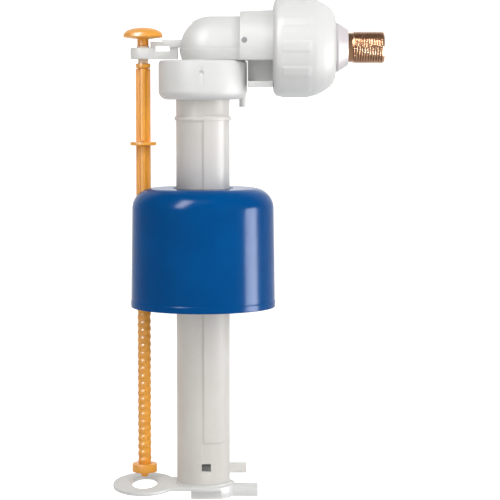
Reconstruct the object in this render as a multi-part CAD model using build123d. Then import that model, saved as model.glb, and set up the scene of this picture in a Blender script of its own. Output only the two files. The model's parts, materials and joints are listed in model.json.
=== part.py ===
from build123d import *
import os
from math import asin, cos, degrees, radians, sin, sqrt

# Side-entry toilet fill valve. Millimetres. The inlet axis is the X axis, the
# supply comes in from +X, +Z is up, and the origin is where the thread of the
# inlet tail starts, at the face of the conical seal.

# Inlet tail: G 3/8 parallel thread
TAIL_R = 16.66 / 2
TAIL_LENGTH = 18.7
TAIL_CHAMFER = 1.0
TAIL_SHANK_R = 8.0
TAIL_FLANGE_R = 10.4
TAIL_FLANGE_THICKNESS = 2.0
TAIL_BORE_R = 5.6
SEAL_LENGTH = 6.2
SEAL_WIDE_R = 12.5
SEAL_NARROW_R = 9.4

# Big inlet nut, coaxial with the tail
NUT_OPEN_X = -38.5
NUT_NOSE_X = -6.3
NUT_R = 25.3
NUT_RIB_R = 26.0
NUT_RIBS = 12
NUT_RIB_WIDTH = 5.5
NUT_BORE_R = 19.9
NUT_SHOULDER_X = -13.4
SPIGOT_NECK_R = 11.1
SPIGOT_FLANGE_R = 19.5
SPIGOT_FLANGE_X = (-17.0, -13.5)
SEAT_X = -20.5
SEAT_R = 6.8

# Body: head capsule, socket for the nut, leg for the standpipe
HEAD_R = 16.0
HEAD_WALL = 2.0
DOME_X = -70.7
HEAD_END_X = -55.6
PARTING_Z = -0.5
SOCKET_R = 19.6
SOCKET_ROOT_R = 18.5
SOCKET_BORE_R = 16.8
BULKHEAD_X = (-40.0, -37.0)
CHAMBER_HALF_WIDTH = 9.5
CHAMBER_TOP_Z = 14.0
BRIDGE_Z = -6.6
BRIDGE_X = -51.6
DUCT_Z = (-5.3, -2.0)
DUCT_HALF_WIDTH = 12.0
POCKET_Z = -17.4
POCKET_WEB_HALF_WIDTH = 3.0
SHELF_Z = -20.4
SHELF_HALF_WIDTH = 12.0
LEG_R = 17.7
LEG_TOP_Z = -7.0
LEG_BOTTOM_Z = -18.6
LEG_BORE_R = 9.5

# Standpipe and its union collar
PIPE_X = -74.8
PIPE_R = 13.85
PIPE_WALL = 2.0
PIPE_BAND_R = 14.45
PIPE_BAND_ANGLE = 50.0
PIPE_BAND_Z = (-204.0, -35.0)
PIPE_TOP_Z = -20.2
PIPE_BOTTOM_Z = -226.2
PIPE_STOP_R = 14.6
PIPE_STOP_Z = (-37.5, -35.5)
PIPE_FLANGE_R = 17.4
PIPE_FLANGE_THICKNESS = 2.1
COLLAR_R = 22.8
COLLAR_BORE_R = 17.95
COLLAR_TOP_Z = -6.7
COLLAR_BOTTOM_Z = -26.8
COLLAR_EDGE_R = 4.5
COLLAR_PEG_R = 1.7
COLLAR_PEG_Z = -30.6
WINDOW_Z = (-219.0, -215.0)
WINDOW_X = -75.4
WINDOW_WIDTH = 4.7
LUG_X = -52.2
LUG_Z = (-221.6, -216.9)
LUG_HALF_WIDTH = 2.2
SILENCER_R = 9.0
SILENCER_BOTTOM_Z = -190.0
LEDGE_Z = (-26.0, -24.0)
DIFFUSER_Z = (-212.0, -198.0)

# Base guide: thin plate with an oval eye on the left, foot block with a tongue on the right
GUIDE_Z = (-229.0, -227.2)
GUIDE_DISC_R = 16.5
GUIDE_BORE_R = 9.6
GUIDE_NECK_HALF = 14.5
GUIDE_EYE_HALF = (16.5, 27.0)
GUIDE_HOLE_HALF = (6.75, 16.0)
BLOCK_Z = -233.3
BLOCK_X = -81.0
BLOCK_HALF = 13.5
TONGUE_X = -46.3
TONGUE_HALF = 6.0

# Adjusting rod
ROD_X = -105.6
ROD_R = 3.8
ROD_RIB = 2.4
ROD_CORE_R = 2.3
NECK_R = 1.9
KNOB_R = 10.2
KNOB_Z = (4.3, 10.2)
KNOB_RIM = 1.7
SHOULDER_Z = -8.3
REST_Z = 0.75
REST_R = 2.9
DISC_R = 6.75
DISC_Z = (-50.4, -48.7)
THREAD_CREST_R = 3.5
THREAD_ROOT_R = 2.9
THREAD_PITCH = 4.0
THREAD_Z = (-215.5, -107.5)
FOOT_R = 6.5
FOOT_Z = (-221.3, -217.0)
FOOT_TIP_Z = -223.9
FOOT_PIN_R = 2.2
BUSH_R = 2.6
BUSH_RIM_R = 3.2
BUSH_RIM_Z = (-0.2, 0.65)

# Float
FLOAT_BOTTOM_Z = -134.2
FLOAT_TOP_Z = -72.5
FLOAT_BASE_THICKNESS = 2.4
FLOAT_R_BOTTOM = 37.6
FLOAT_R_TOP = 36.7
FLOAT_EDGE_R = 10.5
FLOAT_WALL = 1.6
FLOAT_BORE_R = 15.4
FLOAT_ROD_HOLE_R = 4.3
FLOAT_NUT_R = 5.5
FLOAT_NUT_LENGTH = 10.0

# Pilot lever: pivot in the body, yoke around the rod's neck
PIVOT_X = -53.3
PIVOT_Z = 3.4
PIVOT_PIN_R = 1.5
PIVOT_PIN_HALF = 18.0
LEVER_SWING = 12.2
LEVER_HUB_R = 3.4
LEVER_BEAM_HALF = 4.0
EYE_R = 6.4
EYE_Z = (-6.0, -0.3)
EYE_SLOT_R = 3.1
EYE_SLOT_HALF_LENGTH = 3.9
FORK_X = (-101.6, -87.6)
BEAM_END_X = -95.5
FORK_Z = (-6.0, 2.9)
FORK_HALF = 3.2
FORK_WINDOW_X = (-99.2, -91.8)
FORK_WINDOW_Z = (-2.0, 0.8)
LEVER_BEAM_Z = (0.0, 4.0)

# Pilot jet and servo piston
JET_Z = 10.5
JET_TIP_X = -49.9
JET_BOSS_R = 2.8
JET_HOLE_R = 0.5
PAD_R = 2.4
PAD_THICKNESS = 1.8
PAD_ARM_THICKNESS = 3.8
CYLINDER_R = 13.5
CYLINDER_BORE_R = 11.5
CYLINDER_MOUTH_X = -22.6
CYLINDER_FLOOR_X = -35.0
PISTON_R = 11.0
PISTON_X = (-31.0, -26.0)
WASHER_R = 7.4
WASHER_X = (-25.2, -22.6)
METERING_PIN_R = 0.8

GAP = 0.05


def turned_x(points):
    """Solid of revolution about the X axis from (x, radius) points."""
    return revolve(make_face(Polyline(*points, close=True)), Axis.X)


def turned_z(points, x=0.0):
    """Solid of revolution about the vertical line at x, from (radius, z) points."""
    face = Plane.XZ * make_face(Polyline(*points, close=True))
    return Pos(x, 0, 0) * revolve(face, Axis.Z)


def tube_z(outer, inner, low, high, x=PIPE_X):
    """Upright tube."""
    return turned_z([(inner, low), (outer, low), (outer, high), (inner, high)], x)


def tube_x(outer, inner, low, high):
    """Tube on the inlet axis."""
    return turned_x([(low, inner), (low, outer), (high, outer), (high, inner)])


def rod_along_x(radius, low, high, y=0.0, z=0.0):
    """Cylinder parallel to X."""
    turn = Rot(0, 90, 0)
    return Pos((low + high) / 2, y, z) * turn * Cylinder(radius, high - low)


def rod_along_y(radius, half, x, z):
    """Cylinder parallel to Y, from -half to half."""
    return Pos(x, 0, z) * Rot(90, 0, 0) * Cylinder(radius, 2 * half)


def post(radius, low, high, x, y=0.0):
    """Upright cylinder."""
    return Pos(x, y, (low + high) / 2) * Cylinder(radius, high - low)


def block(x, y, z):
    """Box from three (low, high) pairs."""
    middle = [(low + high) / 2 for low, high in (x, y, z)]
    size = [high - low for low, high in (x, y, z)]
    return Pos(*middle) * Box(*size)


def capsule(radius, end_x):
    """Cylinder on the inlet axis from end_x to the dome, with the dome."""
    middle = (DOME_X - radius * cos(radians(45)), radius * sin(radians(45)))
    outline = (
        ThreePointArc((DOME_X - radius, 0), middle, (DOME_X, radius))
        + Polyline((DOME_X, radius), (end_x, radius), (end_x, 0), (DOME_X - radius, 0))
    )
    return revolve(make_face(outline), Axis.X)


def swung_back(shape):
    """A piece drawn with the pilot jet shut, turned back to the rest position."""
    to_pivot = Pos(PIVOT_X, 0, PIVOT_Z)
    return to_pivot * Rot(0, -LEVER_SWING, 0) * to_pivot.inverse() * shape


def brass_tail():
    """Threaded tail, as a plain cylinder at the thread's outside diameter."""
    shank_x = -SEAL_LENGTH - 8.6
    flange_x = shank_x + TAIL_FLANGE_THICKNESS
    return turned_x([
        (shank_x, TAIL_BORE_R),
        (shank_x, TAIL_FLANGE_R),
        (flange_x, TAIL_FLANGE_R),
        (flange_x, TAIL_SHANK_R),
        (0, TAIL_SHANK_R),
        (0, TAIL_R),
        (TAIL_LENGTH - TAIL_CHAMFER, TAIL_R),
        (TAIL_LENGTH, TAIL_R - TAIL_CHAMFER),
        (TAIL_LENGTH, TAIL_BORE_R),
    ])


def wall_seal():
    """Conical washer that seals the tail in the cistern wall."""
    bore = TAIL_SHANK_R + GAP
    return turned_x([
        (-SEAL_LENGTH, bore),
        (-SEAL_LENGTH, SEAL_WIDE_R),
        (-SEAL_LENGTH + 1.2, SEAL_WIDE_R),
        (0, SEAL_NARROW_R),
        (0, bore),
    ])


def inlet_nut():
    """Barrel-shaped nut with grip ribs, open towards the body."""
    outline = make_face(
        Polyline((NUT_NOSE_X, SPIGOT_NECK_R + 0.3), (NUT_SHOULDER_X, SPIGOT_NECK_R + 0.3),
                 (NUT_SHOULDER_X, NUT_BORE_R), (NUT_OPEN_X, NUT_BORE_R), (NUT_OPEN_X, 21.4))
        + ThreePointArc((NUT_OPEN_X, 21.4), (-37.6, 24.0), (-35.0, NUT_R))
        + Line((-35.0, NUT_R), (-20.5, NUT_R))
        + ThreePointArc((-20.5, NUT_R), (-13.6, 23.2), (-8.4, 19.4))
        + ThreePointArc((-8.4, 19.4), (-6.9, 17.4), (NUT_NOSE_X, 14.6))
        + Line((NUT_NOSE_X, 14.6), (NUT_NOSE_X, SPIGOT_NECK_R + 0.3))
    )
    nut = revolve(outline, Axis.X)
    rib = block((-34.0, -19.5), (-NUT_RIB_WIDTH / 2, NUT_RIB_WIDTH / 2), (NUT_R - 2, NUT_RIB_R))
    rib = chamfer(rib.faces().sort_by(Axis.Z)[-1].edges(), 0.6)
    for index in range(NUT_RIBS):
        nut += Rot(index * 360 / NUT_RIBS, 0, 0) * rib
    return nut


def inlet_spigot():
    """Carrier of the brass tail, with the main seat on its inner side."""
    low, high = SPIGOT_FLANGE_X
    flange_x = -SEAL_LENGTH - 8.6 + TAIL_FLANGE_THICKNESS
    spigot = turned_x([
        (-SEAL_LENGTH, TAIL_SHANK_R + GAP),
        (flange_x, TAIL_SHANK_R + GAP),
        (flange_x, TAIL_FLANGE_R + GAP),
        (flange_x - TAIL_FLANGE_THICKNESS, TAIL_FLANGE_R + GAP),
        (flange_x - TAIL_FLANGE_THICKNESS, 4.6),
        (SEAT_X, 4.6),
        (SEAT_X, 5.6),
        (SEAT_X + 1.0, SEAT_R),
        (low, SEAT_R),
        (low, SPIGOT_FLANGE_R),
        (high, SPIGOT_FLANGE_R),
        (high, SPIGOT_NECK_R),
        (-SEAL_LENGTH, SPIGOT_NECK_R),
    ])
    groove = tube_x(18.3, 17.2, low, low + 0.9)
    return spigot - groove


def spigot_o_ring():
    """Seal between the spigot's flange and the end of the socket."""
    low = SPIGOT_FLANGE_X[0]
    return tube_x(18.25, 17.25, low, low + 0.85)


def inlet_strainer():
    """Slotted strainer basket in the bore of the tail."""
    radius = TAIL_BORE_R - 0.1
    basket = turned_x([
        (-4.0, 0),
        (-4.0, radius - 1.0),
        (12.5, radius - 1.0),
        (12.5, radius),
        (14.5, radius),
        (14.5, radius - 2.0),
        (-3.0, radius - 2.0),
        (-3.0, 0),
    ])
    slot = block((-1.5, 10.5), (-0.6, 0.6), (0, radius))
    for index in range(8):
        basket -= Rot(index * 45, 0, 0) * slot
    return basket


def flow_limiter():
    """Disc with small holes that limits the flow behind the strainer."""
    disc = rod_along_x(TAIL_BORE_R - 0.15, -10.0, -7.5)
    for index in range(6):
        hole = rod_along_x(0.9, -11.0, -6.5, 0, 3.2)
        disc -= Rot(index * 60, 0, 0) * hole
    return disc


def valve_body():
    """Lower half of the head, socket for the nut, leg, and the duct between them."""
    head = capsule(HEAD_R, BRIDGE_X)
    head &= block((-100, BRIDGE_X), (-20, 20), (BRIDGE_Z, PARTING_Z))
    socket = turned_x([
        (HEAD_END_X, 0),
        (HEAD_END_X, SOCKET_ROOT_R),
        (BULKHEAD_X[1], SOCKET_R - 0.4),
        (BULKHEAD_X[1], SOCKET_R),
        (SPIGOT_FLANGE_X[0], SOCKET_R),
        (SPIGOT_FLANGE_X[0], SOCKET_BORE_R),
        (BULKHEAD_X[1], SOCKET_BORE_R),
        (BULKHEAD_X[1], 0),
    ])
    for index in range(7):
        groove_x = -34.5 + index * 2.5
        socket -= tube_x(SOCKET_R + 1, SOCKET_R - 0.7, groove_x, groove_x + 1.2)
    socket -= block((-60, BRIDGE_X), (-25, 25), (-25, BRIDGE_Z))
    pocket = (BRIDGE_X - 1, BULKHEAD_X[0] + 1.4)
    for side in (-1, 1):
        y_range = sorted((side * POCKET_WEB_HALF_WIDTH, side * 25))
        socket -= block(pocket, y_range, (POCKET_Z, BRIDGE_Z))
    shelf_y = (-SHELF_HALF_WIDTH, SHELF_HALF_WIDTH)
    shelf = block((BRIDGE_X, BULKHEAD_X[1] - 1.6), shelf_y, (SHELF_Z, POCKET_Z))
    leg = post(LEG_R, LEG_BOTTOM_Z, LEG_TOP_Z, PIPE_X) + post(14.4, LEG_TOP_Z, BRIDGE_Z + 0.1, PIPE_X)
    body = head + socket + shelf + leg
    body -= block((HEAD_END_X - 1, BULKHEAD_X[0]), (-CHAMBER_HALF_WIDTH, CHAMBER_HALF_WIDTH),
                  (PARTING_Z, CHAMBER_TOP_Z))
    body -= block((PIPE_X, BULKHEAD_X[1] + 1), (-DUCT_HALF_WIDTH, DUCT_HALF_WIDTH), DUCT_Z)
    body -= post(LEG_BORE_R, LEG_BOTTOM_Z - 1, DUCT_Z[1], PIPE_X)
    body -= rod_along_x(JET_BOSS_R + 0.15, BULKHEAD_X[0] - 1, BULKHEAD_X[1] + 1, 0, JET_Z)
    body -= rod_along_x(JET_BOSS_R + 1.1, BULKHEAD_X[1] - 2, BULKHEAD_X[1] + 1, 0, JET_Z)
    body -= rod_along_y(PIVOT_PIN_R, 25, PIVOT_X, PIVOT_Z)
    return body


def hood():
    """Upper half of the head, a shell with a slot in its end for the lever."""
    shell = capsule(HEAD_R, HEAD_END_X) - capsule(HEAD_R - HEAD_WALL, HEAD_END_X + 1)
    shell &= block((-100, HEAD_END_X), (-20, 20), (PARTING_Z, 20))
    slot = block((-100, -78.0), (-LEVER_BEAM_HALF - 0.8, LEVER_BEAM_HALF + 0.8), (PARTING_Z - 1, 12.6))
    return shell - slot


def lever_pin():
    """Pivot pin, pressed into both side walls of the socket."""
    return rod_along_y(PIVOT_PIN_R, PIVOT_PIN_HALF, PIVOT_X, PIVOT_Z)


def pad_arm_x():
    """The two faces of the short arm when the jet is shut."""
    face = JET_TIP_X - 0.1 - PAD_THICKNESS
    return face - PAD_ARM_THICKNESS, face


def pilot_lever():
    """Bell crank: eye round the rod's neck, fork, beam, hub and the arm that holds the pad."""
    slot = extrude(SlotOverall(2 * EYE_SLOT_HALF_LENGTH, 2 * EYE_SLOT_R), 20, both=True)
    fork = block(FORK_X, (-FORK_HALF, FORK_HALF), FORK_Z)
    beam = block((BEAM_END_X, PIVOT_X), (-LEVER_BEAM_HALF, LEVER_BEAM_HALF), LEVER_BEAM_Z)
    hub = rod_along_y(LEVER_HUB_R, CHAMBER_HALF_WIDTH - 0.3, PIVOT_X, PIVOT_Z)
    arm = block(pad_arm_x(), (-3, 3), (PIVOT_Z, JET_Z + PAD_R + 0.3))
    lever = post(EYE_R, *EYE_Z, ROD_X) + fork + beam + hub + swung_back(arm)
    lever -= Pos(ROD_X, 0, 0) * slot
    lever -= block(FORK_WINDOW_X, (-10, 10), FORK_WINDOW_Z)
    return lever - rod_along_y(PIVOT_PIN_R + 0.05, 25, PIVOT_X, PIVOT_Z)


def pilot_pad():
    """Rubber pad on the short arm, which shuts the pilot jet."""
    face = pad_arm_x()[1]
    return swung_back(rod_along_x(PAD_R, face, face + PAD_THICKNESS, 0, JET_Z))


def servo_cylinder():
    """Cup that the piston slides in, with the pilot jet on its back."""
    floor = CYLINDER_FLOOR_X
    back = BULKHEAD_X[1]
    cup = rod_along_x(CYLINDER_R, back, CYLINDER_MOUTH_X)
    for index in range(4):
        rib = block((back, -30.0), (-1.0, 1.0), (0, SOCKET_BORE_R - 0.1))
        cup += Rot(45 + index * 90, 0, 0) * rib
    cup -= rod_along_x(CYLINDER_BORE_R, floor, CYLINDER_MOUTH_X + 1)
    cup += rod_along_x(JET_BOSS_R, -47.0, back, 0, JET_Z)
    tip = Pos((JET_TIP_X - 47.0) / 2, 0, JET_Z) * Rot(0, -90, 0) * Cone(JET_BOSS_R, 1.2, -47.0 - JET_TIP_X)
    cup += tip
    return cup - rod_along_x(JET_HOLE_R, JET_TIP_X - 1, floor + 1, 0, JET_Z)


def pilot_o_ring():
    """Seal round the jet's boss in the bulkhead."""
    ring = rod_along_x(JET_BOSS_R + 1.05, -38.9, -37.05, 0, JET_Z)
    return ring - rod_along_x(JET_BOSS_R + GAP, -40, -36, 0, JET_Z)


def servo_piston():
    """Piston that carries the seat washer."""
    low, high = PISTON_X
    piston = turned_x([
        (low, METERING_PIN_R + 0.1),
        (low, PISTON_R - 2.0),
        (high - 1.5, PISTON_R - 2.0),
        (high - 1.5, PISTON_R),
        (high, PISTON_R),
        (high, WASHER_R + 0.9),
        (WASHER_X[0] + 1.0, WASHER_R + 0.9),
        (WASHER_X[0] + 1.0, WASHER_R + 0.05),
        (WASHER_X[0], WASHER_R + 0.05),
        (WASHER_X[0], METERING_PIN_R + 0.1),
    ])
    return piston


def piston_seal():
    """Lip seal round the piston."""
    low, high = PISTON_X
    return turned_x([
        (low + 0.1, PISTON_R - 1.95),
        (low + 0.1, PISTON_R - 1.0),
        (low - 0.6, PISTON_R + 0.2),
        (low - 0.6, CYLINDER_BORE_R - 0.05),
        (low + 1.6, CYLINDER_BORE_R - 0.05),
        (high - 1.6, PISTON_R - 0.4),
        (high - 1.6, PISTON_R - 1.95),
    ])


def seat_washer():
    """Rubber washer that shuts the main seat."""
    low, high = WASHER_X
    return tube_x(WASHER_R, METERING_PIN_R + 0.1, low, high)


def metering_pin():
    """Steel pin in the cup's floor that keeps the piston's bleed hole clear."""
    return rod_along_x(METERING_PIN_R, CYLINDER_FLOOR_X, SEAT_X + 1.0)


def collar_nut():
    """Union nut that clamps the standpipe to the leg."""
    ledge = PIPE_TOP_Z - PIPE_FLANGE_THICKNESS - GAP
    edge_z = COLLAR_BOTTOM_Z + COLLAR_EDGE_R
    edge_r = COLLAR_R - COLLAR_EDGE_R
    turn = radians(45)
    middle = (edge_r + COLLAR_EDGE_R * cos(turn), edge_z - COLLAR_EDGE_R * sin(turn))
    outline = (
        Polyline((edge_r, COLLAR_BOTTOM_Z), (PIPE_BAND_R + 0.3, COLLAR_BOTTOM_Z), (PIPE_BAND_R + 0.3, ledge),
                 (COLLAR_BORE_R, ledge), (COLLAR_BORE_R, COLLAR_TOP_Z), (COLLAR_R - 1, COLLAR_TOP_Z),
                 (COLLAR_R, COLLAR_TOP_Z - 1), (COLLAR_R, edge_z))
        + ThreePointArc((COLLAR_R, edge_z), middle, (edge_r, COLLAR_BOTTOM_Z))
    )
    nut = Pos(PIPE_X, 0, 0) * Rot(0, 0, 140) * revolve(Plane.XZ * make_face(outline), Axis.Z)
    nut += post(COLLAR_PEG_R, COLLAR_PEG_Z, edge_z + 1, PIPE_X + COLLAR_R - COLLAR_PEG_R - 0.6)
    dimple = rod_along_y(1.0, 0.5, PIPE_X, -13.3)
    return nut - Pos(0, -COLLAR_R, 0) * dimple


def collar_seal():
    """Flat ring between the leg and the standpipe."""
    return tube_z(PIPE_FLANGE_R - 0.2, 12.2, PIPE_TOP_Z, LEG_BOTTOM_Z)


def standpipe():
    """Outlet tube with a clamp flange, two raised bands, a window and a lug."""
    inner = PIPE_R - PIPE_WALL
    pipe = tube_z(PIPE_R, inner, PIPE_BOTTOM_Z, PIPE_TOP_Z)
    pipe += tube_z(PIPE_FLANGE_R, inner, PIPE_TOP_Z - PIPE_FLANGE_THICKNESS, PIPE_TOP_Z)
    pipe += tube_z(inner + 0.1, SILENCER_R + 1.0, *LEDGE_Z)
    pipe += tube_z(PIPE_STOP_R, inner + 1, *PIPE_STOP_Z)
    band_middle = Pos((PIPE_BAND_R + inner + 1) / 2, sum(PIPE_BAND_Z) / 2)
    band_size = Rectangle(PIPE_BAND_R - inner - 1, PIPE_BAND_Z[1] - PIPE_BAND_Z[0])
    band_face = Plane.XZ * band_middle * band_size
    band = revolve(band_face, Axis.Z, PIPE_BAND_ANGLE)
    first = -90 + degrees(asin(0.5 / PIPE_R))
    for turn in (first, first + 180):
        pipe += Pos(PIPE_X, 0, 0) * Rot(0, 0, turn) * band
    pipe -= block((WINDOW_X, WINDOW_X + WINDOW_WIDTH), (-20, 0), WINDOW_Z)
    lug = block((PIPE_X + PIPE_R - 1.5, LUG_X), (-LUG_HALF_WIDTH, LUG_HALF_WIDTH), LUG_Z)
    return pipe + lug


def silencer_tube():
    """Inner tube that leads the water down quietly, hung on the ledge."""
    tube = tube_z(SILENCER_R, SILENCER_R - 1.2, SILENCER_BOTTOM_Z, LEDGE_Z[1] + 1.5)
    flange = tube_z(PIPE_R - PIPE_WALL - 0.1, SILENCER_R - 1.2, LEDGE_Z[1], LEDGE_Z[1] + 1.5)
    return tube + flange


def outlet_diffuser():
    """Ring with crossed vanes that calms the water near the outlet."""
    outer = PIPE_R - PIPE_WALL - 0.05
    ring = tube_z(outer, outer - 1.4, *DIFFUSER_Z)
    for turn in (0, 60, 120):
        vane = Box(2 * outer - 1.4, 1.2, DIFFUSER_Z[1] - DIFFUSER_Z[0])
        ring += Pos(PIPE_X, 0, sum(DIFFUSER_Z) / 2) * Rot(0, 0, turn) * vane
    return ring


def base_guide():
    """Foot bracket: spigot into the pipe, plate with the rod's eye, block with a tongue."""
    low, high = GUIDE_Z
    middle = (low + high) / 2
    disc = post(GUIDE_DISC_R, low, high, PIPE_X)
    plate = disc + block((ROD_X, PIPE_X), (-GUIDE_NECK_HALF, GUIDE_NECK_HALF), GUIDE_Z)
    plate += Pos(ROD_X, 0, middle) * extrude(Ellipse(*GUIDE_EYE_HALF), (high - low) / 2, both=True)
    foot = block((BLOCK_X, PIPE_X + GUIDE_DISC_R), (-BLOCK_HALF, BLOCK_HALF), (BLOCK_Z, low))
    foot &= post(GUIDE_DISC_R, BLOCK_Z, low, PIPE_X)
    foot += block((PIPE_X + GUIDE_BORE_R, TONGUE_X), (-TONGUE_HALF, TONGUE_HALF), (BLOCK_Z, low + 0.4))
    spigot = post(PIPE_R + 0.6, high, PIPE_BOTTOM_Z, PIPE_X)
    spigot += post(PIPE_R - PIPE_WALL - GAP, PIPE_BOTTOM_Z, WINDOW_Z[0] - 1, PIPE_X)
    guide = plate + foot + spigot
    guide -= Pos(ROD_X, 0, middle) * extrude(Ellipse(*GUIDE_HOLE_HALF), high - low, both=True)
    return guide - post(GUIDE_BORE_R, BLOCK_Z - 1, WINDOW_Z[1], PIPE_X)


def rod_ribs(low, high):
    """Cross-shaped ribs along a length of the rod."""
    height = high - low
    cross = Box(2 * ROD_R, ROD_RIB, height) + Box(ROD_RIB, 2 * ROD_R, height)
    return Pos(ROD_X, 0, (low + high) / 2) * cross


def adjusting_rod():
    """Knob, neck, ribbed upper length with a disc, and screw length."""
    under, top = KNOB_Z
    crests = int((THREAD_Z[1] - THREAD_Z[0]) / THREAD_PITCH)
    outline = [(0, FOOT_Z[0] + 1), (FOOT_PIN_R, FOOT_Z[0] + 1), (FOOT_PIN_R, FOOT_Z[1])]
    outline += [(THREAD_ROOT_R, FOOT_Z[1])]
    for index in range(crests):
        low = THREAD_Z[0] + index * THREAD_PITCH + 1.0
        outline += [(THREAD_ROOT_R, low), (THREAD_CREST_R, low + 0.6),
                    (THREAD_CREST_R, low + 1.8), (THREAD_ROOT_R, low + 2.4)]
    outline += [(THREAD_ROOT_R, THREAD_Z[1]), (ROD_CORE_R, THREAD_Z[1])]
    outline += [(ROD_CORE_R, DISC_Z[0]), (DISC_R, DISC_Z[0]), (DISC_R, DISC_Z[1]), (ROD_CORE_R, DISC_Z[1])]
    outline += [(ROD_CORE_R, SHOULDER_Z - 2.4), (ROD_R, SHOULDER_Z - 2.4), (ROD_R, SHOULDER_Z),
                (NECK_R, SHOULDER_Z), (NECK_R, REST_Z), (REST_R, REST_Z), (REST_R, under + 1), (0, under + 1)]
    rim = (KNOB_R - 0.3, under + KNOB_RIM)
    dome_r = (rim[0] ** 2 + (top - rim[1]) ** 2) / (2 * (top - rim[1]))
    crown = (rim[0] / 2, top - dome_r + sqrt(dome_r ** 2 - rim[0] ** 2 / 4))
    knob = (
        Polyline((0, top), (0, under), (4.0, under), (KNOB_R - 0.4, under + 0.8),
                 (KNOB_R, under + 1.2), rim)
        + ThreePointArc(rim, crown, (0, top))
    )
    rod = turned_z(outline, ROD_X) + rod_ribs(THREAD_Z[1] + 0.5, SHOULDER_Z - 1)
    return rod + Pos(ROD_X, 0, 0) * revolve(Plane.XZ * make_face(knob), Axis.Z)


def rod_foot():
    """Stop snapped on the lower end of the rod."""
    foot = turned_z([
        (0, FOOT_TIP_Z),
        (1.6, FOOT_TIP_Z),
        (2.6, FOOT_Z[0]),
        (FOOT_R, FOOT_Z[0]),
        (FOOT_R, FOOT_Z[1]),
        (0, FOOT_Z[1]),
    ], ROD_X)
    return foot - post(FOOT_PIN_R + GAP, FOOT_Z[0] + 1 - GAP, FOOT_Z[1] + 1, ROD_X)


def rod_bush():
    """Split bush on the rod's neck, which hangs in the lever's eye and does not turn."""
    bush = turned_z([
        (NECK_R + GAP, SHOULDER_Z + 0.1),
        (BUSH_R, SHOULDER_Z + 0.1),
        (BUSH_R, BUSH_RIM_Z[0]),
        (BUSH_RIM_R, BUSH_RIM_Z[0]),
        (BUSH_RIM_R, BUSH_RIM_Z[1]),
        (NECK_R + GAP, BUSH_RIM_Z[1]),
    ], ROD_X)
    return bush - block((ROD_X - 0.5, ROD_X + 0.5), (0, 5), (-20, 20))


def float_shell():
    """Upper part of the float: skirt, rounded top, pipe passage and rod passage."""
    seam_z = FLOAT_BOTTOM_Z + FLOAT_BASE_THICKNESS

    def cup(inset, floor):
        """Tapered cup, closed at the top, smaller by inset all over."""
        edge = FLOAT_EDGE_R - inset
        top = FLOAT_TOP_Z - inset
        side = FLOAT_R_TOP - inset
        turn = radians(45)
        middle = (side - edge + edge * cos(turn), top - edge + edge * sin(turn))
        outline = (
            Polyline((side - edge, top), (0, top), (0, floor),
                     (FLOAT_R_BOTTOM - inset, floor), (side, top - edge))
            + ThreePointArc((side, top - edge), middle, (side - edge, top))
        )
        return Pos(PIPE_X, 0, 0) * revolve(Plane.XZ * make_face(outline), Axis.Z)

    outside = cup(0, seam_z)
    shell = outside - cup(FLOAT_WALL, seam_z - 1)
    inner = tube_z(FLOAT_BORE_R + FLOAT_WALL, FLOAT_BORE_R, seam_z, FLOAT_TOP_Z)
    passage = post(FLOAT_NUT_R + FLOAT_WALL, seam_z, FLOAT_TOP_Z, ROD_X) & outside
    shell += inner + passage
    shell -= post(FLOAT_BORE_R, seam_z - 5, FLOAT_TOP_Z + 5, PIPE_X)
    shell -= post(FLOAT_ROD_HOLE_R, seam_z - 5, FLOAT_TOP_Z + 5, ROD_X)
    return shell - post(FLOAT_NUT_R, seam_z - 1, FLOAT_BOTTOM_Z + FLOAT_NUT_LENGTH, ROD_X)


def float_base():
    """Bottom plate welded into the float."""
    top = FLOAT_BOTTOM_Z + FLOAT_BASE_THICKNESS
    plate = post(FLOAT_R_BOTTOM, FLOAT_BOTTOM_Z, top, PIPE_X)
    plate = fillet(plate.edges().group_by(Axis.Z)[0], 1.2)
    plate -= post(FLOAT_BORE_R, FLOAT_BOTTOM_Z - 1, top + 1, PIPE_X)
    return plate - post(FLOAT_NUT_R, FLOAT_BOTTOM_Z - 1, top + 1, ROD_X)


def float_nut():
    """Screw insert in the float's rod passage."""
    return tube_z(FLOAT_NUT_R - GAP, THREAD_CREST_R + 0.09, FLOAT_BOTTOM_Z + 0.3,
                  FLOAT_BOTTOM_Z + FLOAT_NUT_LENGTH - GAP, ROD_X)


PIECES = [
    brass_tail, wall_seal, inlet_nut, inlet_spigot, spigot_o_ring, inlet_strainer, flow_limiter,
    valve_body, hood, lever_pin, pilot_lever, pilot_pad, servo_cylinder, pilot_o_ring,
    servo_piston, piston_seal, seat_washer, metering_pin,
    collar_nut, collar_seal, standpipe, silencer_tube, outlet_diffuser, base_guide,
    adjusting_rod, rod_foot, rod_bush, float_shell, float_base, float_nut,
]

os.makedirs("parts", exist_ok=True)
for piece in PIECES:
    solid = piece()
    name = piece.__name__
    solid.label = name
    export_step(solid, f"parts/{name}.step")
    print(name, round(solid.volume, 1))
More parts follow.
